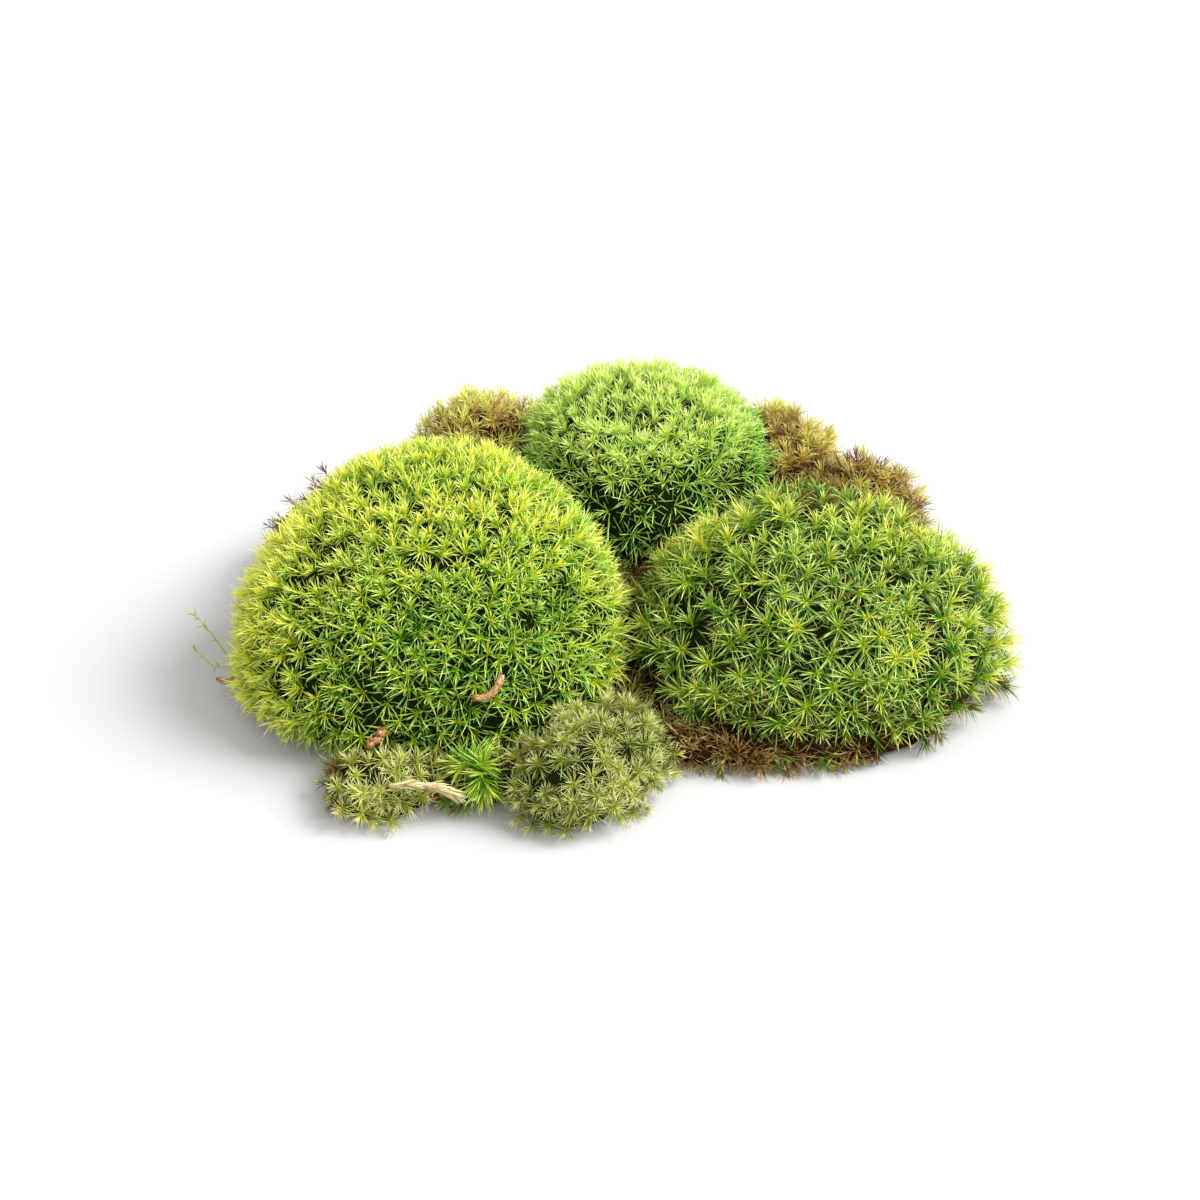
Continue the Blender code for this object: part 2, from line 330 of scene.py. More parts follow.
def sample(node, spacing, rng):
    """Random points all over a node's surface, with their normals."""
    points, corners = triangles(node)
    a, b, c = (points[corners[:, k]] for k in range(3))
    cross = np.cross(b - a, c - a)
    area = np.linalg.norm(cross, axis=1) / 2
    wanted = int(area.sum() / spacing**2 * TRIES)
    face = rng.choice(len(area), wanted, p=area / area.sum())
    u, v = rng.random((2, wanted))
    flip = u + v > 1
    u[flip], v[flip] = 1 - u[flip], 1 - v[flip]
    spots = a[face] + u[:, None] * (b - a)[face] + v[:, None] * (c - a)[face]
    return spots, unit(cross[face])


def thin_out(spots, normals, room, side):
    """Indexes of spots that each have their room, found with a grid of cells of this side."""
    kept, cells = [], {}
    for i, spot in enumerate(spots):
        if normals[i][2] < LOWEST_NORMAL:
            continue
        cell = tuple((spot // side).astype(int))
        near = [
            j
            for dx in (-1, 0, 1) for dy in (-1, 0, 1) for dz in (-1, 0, 1)
            for j in cells.get((cell[0] + dx, cell[1] + dy, cell[2] + dz), ())
        ]
        if near and (np.linalg.norm(spots[near] - spot, axis=1) < room[i]).any():
            continue
        cells.setdefault(cell, []).append(i)
        kept.append(i)
    return kept


def scatter(node, spacing, swollen, rng):
    """Spots on a node's open surface about this far apart, with their normals and how open they are."""
    spots, normals = sample(node, spacing, rng)
    room = spacing * (1 + UNEVEN_ROOM * soft_noise(spots, ROOM_HILLS, ROOM_SEED)) * ROOM
    if swollen:
        room = room * swollen(*places_in_box(node, spots))
    kept = thin_out(spots, normals, room, spacing * CELL)
    spots, normals = spots[kept], normals[kept]
    open_share = openness(spots, normals, neighbour_tree(node), rng)
    seen = open_share > LEAST_OPEN
    return spots[seen], normals[seen], open_share[seen]


def foot_middle(node):
    """The middle of a node's box at its foot, and the box's low and high corners."""
    low, high = node_box(node)
    middle = (low + high) / 2
    middle[2] = low[2]
    return middle, low, high


def growth(node, spots, normals, upright, follow):
    """Which way shoots grow: out from the node's middle as from an ellipsoid, part way to upright."""
    middle, low, high = foot_middle(node)
    half = (high - low) / 2
    half[2] *= 2                        # its middle is at the foot, so this is the full height
    out = unit((spots - middle) / half**2)
    return unit((1 - follow) * out + follow * normals + upright * UP)


def middle_line(node, count):
    """Points along the middle of a long thin node, from its lower X end."""
    points, _ = triangles(node)
    centre = points.mean(axis=0)
    way = np.linalg.svd(points - centre, full_matrices=False)[2][0]
    order = np.argsort((points - centre) @ (way * np.sign(way[0])))
    line = np.array([points[part].mean(axis=0) for part in np.array_split(order, count)])
    line[1:-1] = (line[:-2] + 2 * line[1:-1] + line[2:]) / 4
    return line


# --- cushions ----------------------------------------------------------------------------------------

class Moss:
    """How a cushion's shoots look. Lengths are in millimetres, angles in degrees.

    spacing is how far apart shoots are, leaf and width are a leaf's own, leaves is how many a shoot has,
    and stem is the length of the stem that they sit on.
    """

    def __init__(self, palette, slot, seed, spacing, leaf, width, leaves, stem, **other):
        self.palette, self.slot, self.seed, self.leaves = palette, slot, seed, leaves
        self.spacing, self.leaf, self.width, self.stem = (v * MM for v in (spacing, leaf, width, stem))
        self.blade = SHORT_BLADE
        self.spread = (10, 64)          # angle from the stem of the youngest and of the oldest leaves
        self.bend = 10                  # how much a leaf bends outwards along its length
        self.upright = 0.12             # how far shoots turn up
        self.follow = 0.3               # how far they follow the solid's surface
        self.lean = 0.14                # how far shoots lean at random
        self.relief = 1.0               # how unevenly shoots stand out
        self.clumps = 14                # distance between swells in height and colour
        self.shade = 0.5                # place in the palette
        self.shade_spread = 0.08
        # The oldest, lowest leaves are darker partly with age and partly as painted shade deep among the
        # shoots.
        self.age_and_painted_shade = 0.28               # how much darker the oldest leaves are than the youngest
        # Painted shade: shoots are made darker where neighbours shut them in and little sky is open.
        self.crevice_painted_shade = 0.10             # how much darker shoots are where neighbours shut them in
        self.foot = None                # (height, shade) of browner shoots near the ground
        self.heart = "green_heart"      # the core's material
        self.core = 7                   # how far the core is inside the solid
        self.inset = 0.45               # how far shoot tips are inside the solid, as a share of a leaf
        self.tint = None                # adds to the shade, by place in the solid's box
        self.close = None               # how closed the shoots are from 0 to 1, by place in the box
        self.swollen = None             # how much bigger shoots are, by place in the box
        self.heads = 0.0                # how much fresher some shoots' youngest leaves are
        self.ragged = 0.0               # how far some shoots stand out above the rest
        self.droop = 0.0                # how far shoots near the ground hang down
        self.__dict__.update(other)


# A leaf's rank goes from 0 at its shoot's tip to 1 at the foot of the stem.
CROWDING = 1.15            # above 1, leaves sit closer together towards the tip
OPEN_RANK = 0.6            # from this rank on leaves are fully open
CLOSING = 0.62             # how much less a closed shoot's leaves open
YOUNG_SIZE = 0.55          # the youngest leaves' length, as a share of the others'
YOUNG_RANK = 0.3           # up to this rank leaves are shorter
THIN_LEAF = 0.6            # width of a leaf of no length, as a share of the others'
EVEN_RANK = 0.35           # the rank whose leaves have the shoot's own shade
FRESH_SHOOTS = 0.6         # share of the shoots that can have fresher heads
FRESH_RANKS = (0.1, 0.5)   # over which their freshness fades
STEM_LENGTH = 1.3          # as a share of the part with leaves
STEM_RADIUS = 0.15 * MM
STEM_SHADE = -0.25         # from the shoot's own

# Factors by which shoots and their leaves vary: (standard deviation, lowest, highest).
SIZE_VARIES = (0.12, 0.72, 1.25)
OPENING_VARIES = (0.14, 0.6, 1.3)
LENGTH_VARIES = (0.14, 0.55, 1.4)
WIDTH_RANGE = (0.8, 1.15)

# Standard deviations of a leaf's angles and shade.
SPREAD_DEGREES = 8
BEND_DEGREES = 12
TURN_RADIANS = 0.2
ROLL_RADIANS = 0.35
LEAF_SHADE_VARIES = 0.035


def add_shoots(build, tips, axes, size, shade, closed, moss, rng):
    """Adds shoots: leaves in a spiral round a stem below each tip."""
    count, leaves = len(tips), moss.leaves
    shape = (count, leaves)
    rank = (np.arange(leaves) + 0.5) / leaves
    turn = rng.uniform(0, 2 * pi, (count, 1)) + GOLDEN_TURN * np.arange(leaves)
    turn = turn + rng.normal(0, TURN_RADIANS, shape)
    first, second = sideways(axes, rng)
    out = np.cos(turn)[..., None] * first[:, None] + np.sin(turn)[..., None] * second[:, None]
    base = tips[:, None] - axes[:, None] * (moss.stem * size[:, None] * rank**CROWDING)[..., None]
    young, old = moss.spread
    opened = smooth_step(0, OPEN_RANK, rank) * vary(rng, *OPENING_VARIES, (count, 1))
    opened = opened * (1 - CLOSING * closed[:, None])
    spread = np.radians(young + (old - young) * opened + rng.normal(0, SPREAD_DEGREES, shape))
    grown = YOUNG_SIZE + (1 - YOUNG_SIZE) * smooth_step(0, YOUNG_RANK, rank)
    length = moss.leaf * size[:, None] * grown * vary(rng, *LENGTH_VARIES, shape)
    width = moss.width * (THIN_LEAF + (1 - THIN_LEAF) * grown) * rng.uniform(*WIDTH_RANGE, shape)
    bend = np.radians(moss.bend + rng.normal(0, BEND_DEGREES, shape))
    fresh = (rng.random((count, 1)) < FRESH_SHOOTS) * moss.heads * (1 - smooth_step(*FRESH_RANKS, rank))
    # Lower, older leaves are darker: partly their age, partly painted shade deep among the shoots.
    leaf_shade = shade[:, None] + moss.age_and_painted_shade * (EVEN_RANK - rank) + fresh
    leaf_shade = leaf_shade + rng.normal(0, LEAF_SHADE_VARIES, shape)
    every = count * leaves
    add_leaves(
        build, base.reshape(every, 3), np.repeat(axes, leaves, axis=0), out.reshape(every, 3),
        length.ravel(), width.ravel(), spread.ravel(), bend.ravel(),
        rng.normal(0, ROLL_RADIANS, every), leaf_shade.ravel(), moss.blade)
    add_stems(build, tips, axes, moss.stem * STEM_LENGTH * size, STEM_RADIUS, shade + STEM_SHADE)


SMALLEST_CORE = 0.25       # a core's size as a share of the solid's, where the solid is thin

# The UVs of a core are noise: (middle, swing, distance between hills, seed) of U and of V.
CORE_UVS = ((0.5, 0.45, 9 * MM, 3), (0.035, 0.015, 7 * MM, 4))


def add_core(build, node, depth):
    """The dark heart of a cushion: the solid, shrunk towards the middle of its foot. Its near-black colour
    is partly painted shade that shows in the gaps between shoots.
    """
    points, corners = triangles(node)
    middle, _, _ = foot_middle(node)
    away = points - middle
    reach = np.linalg.norm(away, axis=1, keepdims=True)
    shrunk = middle + away * np.maximum(1 - depth / np.maximum(reach, 1e-6), SMALLEST_CORE)
    uv = np.stack([mean + swing * soft_noise(points, *hills) for mean, swing, *hills in CORE_UVS], axis=1)
    build.add(shrunk, [corners], np.clip(uv, 0.01, 0.99), 1)


HANGING_BELOW = (4 * MM, 14 * MM)      # heights over which shoots hang less and less
ON_THE_FLOOR = 0.12 * MM               # no leaf goes lower

# How far shoots stand out, for a relief of 1.
SWELL_RISE = 0.6                       # how much it follows the swells
RISE_VARIES = 0.5                      # and its standard deviation from them
RISE_LIMITS = (-1.2, 0.9)

# The shoots' shades, for a shade_spread of 1.
# Shoots on swells are paler and sunken ones darker: partly tone that varies by clump, partly painted shade
# in the hollows.
SWELL_TONE_AND_PAINTED_SHADE = 0.7                      # how much they follow the swells
SHADE_VARIES = 0.6                     # and their standard deviation from them
PAINTED_SHADE_BELOW = (0.05, 0.45)           # shares of open sky over which shoots get less and less dark
FOOT_HILLS = 11 * MM                   # distance between swells in the height of the browner foot
FOOT_UNEVEN = 0.4                      # and how high they are, as a share of it
FOOT_FADES = (0.55, 1.1)               # shares of its height over which it fades
FOOT_SHADE_VARIES = 0.03


def stand(node, moss, spots, normals, swell, rng):
    """Where shoots stand on a node: their tips, the ways they grow and their sizes."""
    count = len(spots)
    axes = growth(node, spots, normals, moss.upright, moss.follow)
    axes = unit(axes + rng.normal(size=axes.shape) * moss.lean)
    hanging = moss.droop * (1 - smooth_step(*HANGING_BELOW, spots[:, 2]))
    axes = unit(axes - hanging[:, None] * UP)
    size = vary(rng, *SIZE_VARIES, count)
    if moss.swollen:
        size = size * moss.swollen(*places_in_box(node, spots))
    rise = np.clip(SWELL_RISE * swell + rng.normal(0, RISE_VARIES, count), *RISE_LIMITS)
    rise = moss.relief * rise + moss.ragged * rng.random(count) ** 3
    inset = moss.leaf * moss.inset * size - rise * MM
    return spots - axes * inset[:, None], axes, size


def shades(node, moss, spots, open_share, swell, rng):
    """The shoots' places in the palette."""
    count = len(spots)
    # Sunken shoots are darker, partly as painted shade in the hollows.
    shade = moss.shade + moss.shade_spread * (SWELL_TONE_AND_PAINTED_SHADE * swell + rng.normal(0, SHADE_VARIES, count))
    # Painted shade: shoots that see little open sky are darkened.
    shade = shade - moss.crevice_painted_shade * (1 - smooth_step(*PAINTED_SHADE_BELOW, open_share))
    if moss.tint:
        shade = shade + moss.tint(*places_in_box(node, spots))
    if moss.foot:
        height, foot_shade = moss.foot
        low, _ = node_box(node)
        reach = height * MM * (1 + FOOT_UNEVEN * soft_noise(spots, FOOT_HILLS, moss.seed + 2))
        fade_from, fade_to = (share * reach for share in FOOT_FADES)
        browned = 1 - smooth_step(fade_from, fade_to, spots[:, 2] - low[2])
        brown = foot_shade + rng.normal(0, FOOT_SHADE_VARIES, count)
        shade = shade * (1 - browned) + brown * browned
    return shade


def grow(node, moss):
    """Replaces a CAD cushion by its shoots on a dark core."""
    rng = np.random.default_rng(moss.seed)
    spots, normals, open_share = scatter(node, moss.spacing, moss.swollen, rng)
    swell = soft_noise(spots, moss.clumps * MM, moss.seed + 1)
    tips, axes, size = stand(node, moss, spots, normals, swell, rng)
    shade = shades(node, moss, spots, open_share, swell, rng)
    closed = moss.close(*places_in_box(node, spots)) if moss.close else np.zeros(len(spots))
    build = Builder()
    add_shoots(build, tips, axes, size, shade, closed, moss, rng)
    for points in build.points:
        points[:, 2] = np.maximum(points[:, 2], ON_THE_FLOOR)
    add_core(build, node, moss.core * MM)
    build.make(node, moss.slot, leaf_material(moss.palette), heart_material(moss.heart))


# In what follows x, y and z are places in a solid's box, from 0 to 1.

def patch(x, y, middle, radius):
    """1 at a place, falling to 0 at this radius from it, seen from above."""
    return 1 - smooth_step(0.4 * radius, radius, np.hypot(x - middle[0], y - middle[1]))


def left_tint(x, y, z):
    """Yellower on the crown, the outer rim and the flank beside the right cushion."""
    crown = smooth_step(0.62, 0.98, z)
    rim = 1 - smooth_step(0.06, 0.36, x)
    flank = smooth_step(0.82, 0.98, x)
    return 0.27 * crown + 0.34 * rim + 0.20 * flank


def left_closed(x, y, z):
    """Shoots are closed like brushes on the crown and the outer rim, and open stars elsewhere."""
    return np.maximum(0.7 * smooth_step(0.55, 0.95, z), 1 - smooth_step(0.10, 0.38, x))


def left_swollen(x, y, z):
    """Bigger rosettes along the flank, the rim and the lower front, finer ones on the crown."""
    flank = smooth_step(0.70, 0.95, x)
    front = (1 - smooth_step(0.05, 0.4, y)) * (1 - smooth_step(0.4, 0.75, z)) * smooth_step(0.15, 0.4, x)
    rim = 0.5 * (1 - smooth_step(0.06, 0.3, x))
    return 0.97 + 0.26 * np.maximum(np.maximum(flank, front), rim) - 0.10 * smooth_step(0.7, 1.0, z)


def right_tint(x, y, z):
    """Yellow-green at the outer edge, olive and then brown along the back."""
    back = smooth_step(0.40, 0.75, y) * (1 - smooth_step(0.8, 0.95, x))
    return 0.16 * smooth_step(0.80, 1.0, x) * (1 - back) + 0.16 * back - 0.42 * smooth_step(0.72, 0.9, y)


def right_closed(x, y, z):
    """Shoots are closed along the outer edge and the back."""
    return np.maximum(smooth_step(0.72, 0.95, x), 0.8 * smooth_step(0.6, 0.85, y))


def back_tint(x, y, z):
    """Paler towards the crown."""
    return 0.30 * smooth_step(0.5, 1.0, z)


def back_closed(x, y, z):
    """Shoots close towards the crown."""
    return smooth_step(0.5, 0.95, z)


def back_swollen(x, y, z):
    """Big brushes and rosettes on the front, under a finer crown."""
    return 0.88 + 0.62 * (1 - smooth_step(0.12, 0.5, y)) * (1 - smooth_step(0.65, 0.9, z))


PALE_SHOOT = (0.46, 0.72)
YELLOW_SHOOT = (0.2, 0.72)


def front_left_tint(x, y, z):
    """Rusty at its outer end, with one pale shoot and one yellow one near its back."""
    rust = 1 - smooth_step(0.08, 0.2, x)
    pale = patch(x, y, PALE_SHOOT, 0.12)
    yellow = patch(x, y, YELLOW_SHOOT, 0.14)
    return 0.22 * pale + 0.2 * yellow - 0.5 * rust


def front_left_swollen(x, y, z):
    """Those two shoots are bigger."""
    return 0.95 + 0.35 * patch(x, y, PALE_SHOOT, 0.16) + 0.2 * patch(x, y, YELLOW_SHOOT, 0.16)


def mat_tint(x, y, z):
    """Greener under the left cushion."""
    return 0.35 * (1 - smooth_step(0.3, 0.5, x))


CUSHIONS = {
    "cushion_left": Moss(
        "fresh", "moss_fresh", seed=11, spacing=4.0, leaf=5.7, width=0.37, leaves=37, stem=5.4,
        spread=(10, 62), bend=24, lean=0.2, droop=0.5, relief=1.5, inset=0.42, core=4.6, shade=0.45,
        age_and_painted_shade=0.50, heads=0.14, tint=left_tint, close=left_closed, swollen=left_swollen),
    "cushion_right": Moss(
        "long", "moss_fresh", seed=12, spacing=6.4, leaf=7.4, width=0.40, leaves=56, stem=6.5,
        spread=(8, 72), bend=36, lean=0.22, droop=0.6, relief=2.6, inset=0.55, core=9, shade=0.49,
        age_and_painted_shade=0.56, heads=0.08, clumps=18, foot=(8, 0.11), blade=LONG_BLADE, tint=right_tint,
        close=right_closed),
    "cushion_back": Moss(
        "bright", "moss_bright", seed=13, spacing=3.6, leaf=5.6, width=0.33, leaves=36, stem=5.6,
        bend=20, relief=2.0, inset=0.55, core=5, age_and_painted_shade=0.54, crevice_painted_shade=0.3, tint=back_tint,
        close=back_closed, swollen=back_swollen),
    "tuft_front": Moss(
        "pale", "moss_pale", seed=14, spacing=5.1, leaf=4.6, width=0.20, leaves=112, stem=3.2,
        spread=(5, 108), bend=12, droop=0.4, relief=2.4, inset=0.6, core=5.5, shade=0.57, age_and_painted_shade=0.56),
    "tuft_front_left": Moss(
        "pale", "moss_pale", seed=15, spacing=4.9, leaf=4.8, width=0.21, leaves=90, stem=3.4,
        spread=(6, 104), bend=12, droop=0.4, relief=2.0, inset=0.5, core=4, shade=0.74, age_and_painted_shade=0.46,
        ragged=2, tint=front_left_tint, swollen=front_left_swollen),
    "tuft_front_middle": Moss(
        "fresh", "moss_fresh", seed=16, spacing=5.6, leaf=8.6, width=0.42, leaves=40, stem=5.0,
        spread=(6, 44), bend=22, upright=-0.5, lean=0.3, droop=0.8, inset=0.35, core=3.5, shade=0.70,
        age_and_painted_shade=0.5, blade=LONG_BLADE),
    "tuft_rear_left": Moss(
        "old", "moss_old", seed=17, spacing=3.3, leaf=5.0, width=0.28, leaves=34, stem=5.5,
        spread=(6, 50), lean=0.32, relief=2.6, core=5, shade=0.72, shade_spread=0.26, clumps=8,
        heads=0.35, ragged=2, heart="brown_heart"),
    "tuft_rear_right": Moss(
        "old", "moss_old", seed=18, spacing=3.0, leaf=4.8, width=0.27, leaves=34, stem=5.0,
        spread=(6, 48), lean=0.3, relief=2.6, inset=0.6, core=5, shade=0.52, shade_spread=0.24,
        clumps=8, heads=0.3, ragged=1.5, heart="brown_heart"),
    "tuft_far_right": Moss(
        "old", "moss_old", seed=19, spacing=3.0, leaf=4.8, width=0.28, leaves=32, stem=5.0,
        spread=(6, 50), lean=0.34, relief=2.6, inset=0.5, core=5, shade=0.44, shade_spread=0.3,
        clumps=8, heads=0.3, ragged=2.5, heart="brown_heart"),
    "old_growth_left": Moss(
        "old", "moss_dead", seed=20, spacing=3.2, leaf=3.4, width=0.26, leaves=24, stem=4.0,
        lean=0.4, relief=1.6, inset=-0.7, core=4, shade=0.18, shade_spread=0.2, clumps=8, ragged=6,
        heart="brown_heart"),
    "base_mat": Moss(
        "dead", "mat", seed=21, spacing=2.4, leaf=5.4, width=0.38, leaves=20, stem=4.0,
        spread=(10, 60), follow=0.7, lean=0.5, droop=0.9, relief=2.5, inset=-0.2, core=0.8,
        shade=0.62, shade_spread=0.24, clumps=8, crevice_painted_shade=0.55, tint=mat_tint, heart="brown_heart"),
}


# --- litter ------------------------------------------------------------------------------------------

def on_line(line, place):
    """Points on a line and its directions there, at places counted in the line's points."""
    low = np.minimum(place.astype(int), len(line) - 2)
    part = (place - low)[:, None]
    return line[low] * (1 - part) + line[low + 1] * part, unit(line[low + 1] - line[low])


def around(axes, aside, turn):
    """Directions square to axes. At no turn they are square to aside too."""
    first = unit(np.cross(axes, aside))
    second = np.cross(axes, first)
    return np.cos(turn)[:, None] * first + np.sin(turn)[:, None] * second


def swelling(count, middle, end):
    """Radii along a line that is thick in the middle."""
    return end + (middle - end) * np.sin(np.linspace(0.12, 0.88, count) * pi) ** 0.7


# Lengths are in millimetres and angles in degrees. points is how many the middle line has, middle and ends
# are the radius there, and widens is what it gains at the first end and at the last.
LITTER = {
    "dead_stem": dict(
        slot="litter_straw", palette="straw", points=14, middle=1.35, ends=0.7, widens=(-0.35, 0.45),
        scale=4.2, width=0.65, count=260, spread=7, shade=0.52, mottle=0.16),
    "bark_scale": dict(
        slot="litter_brown", palette="husk", points=9, middle=1.25, ends=0.7, widens=(0, 0),
        scale=1.0, width=0.62, count=260, spread=16, shade=0.58, mottle=0.24),
    "bud_scrap": dict(
        slot="litter_brown", palette="husk", points=8, middle=1.25, ends=0.6, widens=(0, 0),
        scale=1.7, width=0.95, count=80, spread=30, shade=0.40, mottle=0.22),
    "seed_husk": dict(
        slot="litter_brown", palette="husk", points=12, middle=0.75, ends=0.4, widens=(0, 0),
        scale=1.3, width=0.7, count=90, spread=8, shade=0.6, mottle=0.2),
}
LITTER_SEED = 31
TUBE_SHARE = 0.8           # radius of the tube under the scales, as a share of the whole
TUBE_SHADE = -0.2          # from the scales' own
SCALE_FOOT = 0.72          # how far out a scale starts, as a share of the radius
SCALE_BEND = radians(12)   # how much a scale bends back to the tube


def add_scaly_line(build, line, radii, look, rng):
    """Adds a tube along a line, covered in overlapping scales that point along it."""
    add_tube(build, line, radii * TUBE_SHARE, look["shade"] + TUBE_SHADE)
    count = look["count"]
    place = (np.arange(count) + 0.5) / count * (len(line) - 1)
    spots, axes = on_line(line, place)
    out = around(axes, ASIDE, GOLDEN_TURN * np.arange(count))
    thick = np.interp(place, np.arange(len(line)), radii)
    add_leaves(
        build, spots + out * (thick * SCALE_FOOT)[:, None], axes, out,
        look["scale"] * MM * rng.uniform(0.8, 1.2, count),
        look["width"] * MM * rng.uniform(0.8, 1.2, count),
        np.radians(look["spread"] + rng.normal(0, 6, count)), np.full(count, -SCALE_BEND),
        rng.normal(0, 0.15, count), look["shade"] + rng.normal(0, look["mottle"], count), LONG_BLADE)


def build_litter():
    rng = np.random.default_rng(LITTER_SEED)
    for node, look in LITTER.items():
        points = look["points"]
        radii = swelling(points, look["middle"], look["ends"]) + np.linspace(*look["widens"], points)
        build = Builder()
        add_scaly_line(build, middle_line(node, points), radii * MM, look, rng)
        build.make(node, look["slot"], leaf_material(look["palette"]))


# Leaves of a sprig: (place along it, angle round it, length, width, angle from its stem), in millimetres
# and degrees.
SPRIG_LEAVES = {
    "sprig_upper": (
        (0.99, 200, 3.4, 1.0, 8), (0.96, 40, 2.8, 0.9, 28), (0.92, 250, 2.6, 0.9, 38),
        (0.86, 90, 2.4, 0.8, 48), (0.69, 60, 3.6, 1.1, 48), (0.67, 240, 3.0, 1.0, 40),
        (0.65, 150, 2.6, 1.0, 58), (0.62, 330, 2.4, 0.9, 62), (0.42, 40, 2.8, 1.1, 50),
        (0.39, 220, 2.4, 0.9, 58),
    ),
    "sprig_lower": (
        (0.99, 160, 3.0, 1.0, 10), (0.95, 330, 2.6, 0.8, 32), (0.88, 80, 2.2, 0.7, 52),
        (0.72, 260, 3.0, 0.7, 62), (0.45, 30, 2.2, 0.8, 56), (0.32, 200, 2.4, 0.8, 50),
    ),
}
SPRIG_POINTS = 12
SPRIG_RADII = (0.28, 0.14)             # millimetres, at its foot and its tip
SPRIG_SHADE = 0.4                      # of its stem
SPRIG_LEAF_SHADES = (0.75, 0.5)        # from the tip down
SPRIG_LEAF_BEND = 0.35
SPRIG_ROOTS = (6 * MM, 3 * MM)         # how far inside the cushion two more points of its stem are
SPRIG_TURN = np.array([0.6 * MM, 0, 0])  # turns them towards the cushion's middle
SPRIG_ASIDE = (0.0, 1.0, 0.2)          # its leaves' angles are counted from square to this
SPRIG_GLOW = 0.4                       # share of the light that shows through its leaves
SHORT_OF_END = 1.001                   # keeps leaf places just short of the line's last point


def build_sprigs():
    """Two thin stems of another moss that trail out of the left cushion, with a few small leaves."""
    for name, leaves in SPRIG_LEAVES.items():
        line = middle_line(name, SPRIG_POINTS)[::-1]
        inward = unit(line[0] - line[1] + SPRIG_TURN)
        line = np.concatenate(([line[0] + inward * depth for depth in SPRIG_ROOTS], line))
        build = Builder()
        add_tube(build, line, np.linspace(*SPRIG_RADII, len(line)) * MM, SPRIG_SHADE, sides=6)
        at, turn, length, width, spread = np.array(leaves).T
        spots, axes = on_line(line, at * (len(line) - SHORT_OF_END))
        out = around(axes, SPRIG_ASIDE, np.radians(turn))
        count = len(at)
        add_leaves(
            build, spots, axes, out, length * MM, width * MM, np.radians(spread),
            np.full(count, SPRIG_LEAF_BEND), np.zeros(count), np.linspace(*SPRIG_LEAF_SHADES, count),
            LONG_BLADE)
        build.make(name, "sprig", leaf_material("sprig", SPRIG_GLOW))


# --- materials ---------------------------------------------------------------------------------------

def colour(code):
    """A linear colour from a hexadecimal sRGB code."""
    parts = [int(code[i:i + 2], 16) / 255 for i in (0, 2, 4)]
    return tuple(p / 12.92 if p <= 0.04045 else ((p + 0.055) / 1.055) ** 2.4 for p in parts) + (1.0,)


# Rows of (shade, colour at a leaf's base, in its middle, at its tip). A moss leaf's pale tip colour is
# partly its own and partly a painted highlight.
PALETTES = {
    "fresh": [
        (0.10, "3a3a0a", "3e4408", "747c34"),
        (0.26, "264a04", "265004", "709a2e"),
        (0.42, "74ac12", "489012", "b6de64"),
        (0.60, "bcd426", "94b61e", "d8ec78"),
        (0.80, "dee238", "c4d028", "ecf47e"),
        (1.00, "f0ee46", "dedc34", "f8f88c"),
    ],
    "long": [
        (0.10, "5a3c0e", "7c5a20", "ac8440"),
        (0.17, "4e4a10", "504e10", "98903c"),
        (0.28, "264206", "26460a", "6c9230"),
        (0.42, "7aa616", "468210", "bedc6c"),
        (0.60, "bcca26", "84a81e", "dcea7c"),
        (0.80, "dad634", "bcc42a", "eeee80"),
        (1.00, "ecdf48", "dad03a", "f6f294"),
    ],
    "bright": [
        (0.10, "44440e", "4a5010", "80883c"),
        (0.28, "2e5a0c", "2c620e", "76aa3c"),
        (0.46, "8ebc2a", "6cae2c", "c2e678"),
        (0.64, "bed63c", "9cc642", "dcf08e"),
        (0.82, "d8e24e", "bed856", "ecf69c"),
        (1.00, "e6ea5c", "d8e060", "f4faac"),
    ],
    "pale": [
        (0.10, "6c420e", "8c5618", "bc8c4c"),
        (0.26, "505410", "586014", "aaac5c"),
        (0.44, "747f1c", "6c7f28", "c6ce80"),
        (0.62, "a2a82c", "96a038", "e0e498"),
        (0.80, "c6c43c", "babc4c", "eeeca8"),
        (1.00, "ded656", "d6d26c", "f6f2ba"),
    ],
    "old": [
        (0.10, "24140a", "36200e", "50361c"),
        (0.26, "603c18", "7e5426", "a8824a"),
        (0.44, "94702a", "ac8a40", "d2b676"),
        (0.60, "a8942e", "bca848", "dccc80"),
        (0.78, "bcb836", "c6c44e", "e4e08c"),
        (1.00, "ccd048", "d4d65c", "f0eea0"),
    ],
    "dead": [
        (0.10, "20140a", "38220f", "5c4020"),
        (0.40, "5c3e1c", "7c5628", "a8804a"),
        (0.62, "8e6e34", "aa8848", "d0b27a"),
        (0.80, "66701a", "6a7820", "a8b060"),
        (1.00, "7a9424", "6c9024", "b4cc70"),
    ],
    "straw": [
        (0.10, "5c4420", "6c5430", "806a46"),
        (0.35, "947848", "a88a56", "c4aa78"),
        (0.60, "bcac74", "d0c088", "e8dcac"),
        (1.00, "dcd09c", "ece2b4", "f8f2d6"),
    ],
    "husk": [
        (0.10, "4a2810", "5e3818", "704824"),
        (0.30, "7c4418", "945a24", "b47a48"),
        (0.60, "bc8448", "d09c60", "e6bc88"),
        (1.00, "dcae78", "ecc494", "f8dcb8"),
    ],
    "sprig": [
        (0.10, "6c7c34", "80904a", "94a45c"),
        (0.50, "98ac4c", "b0c468", "ccdc88"),
        (1.00, "c4d47c", "d4e094", "e8f0b4"),
    ],
}


def new_material(name):
    """A material with nodes: itself, its nodes, its links, its shader and the output of its leaf UVs."""
    mat = bpy.data.materials.new(name)
    mat.use_nodes = True
    nodes = mat.node_tree.nodes
    uv = nodes.new("ShaderNodeUVMap")
    uv.uv_map = LEAF_UV
    return mat, nodes, mat.node_tree.links, nodes["Principled BSDF"], uv.outputs["UV"]


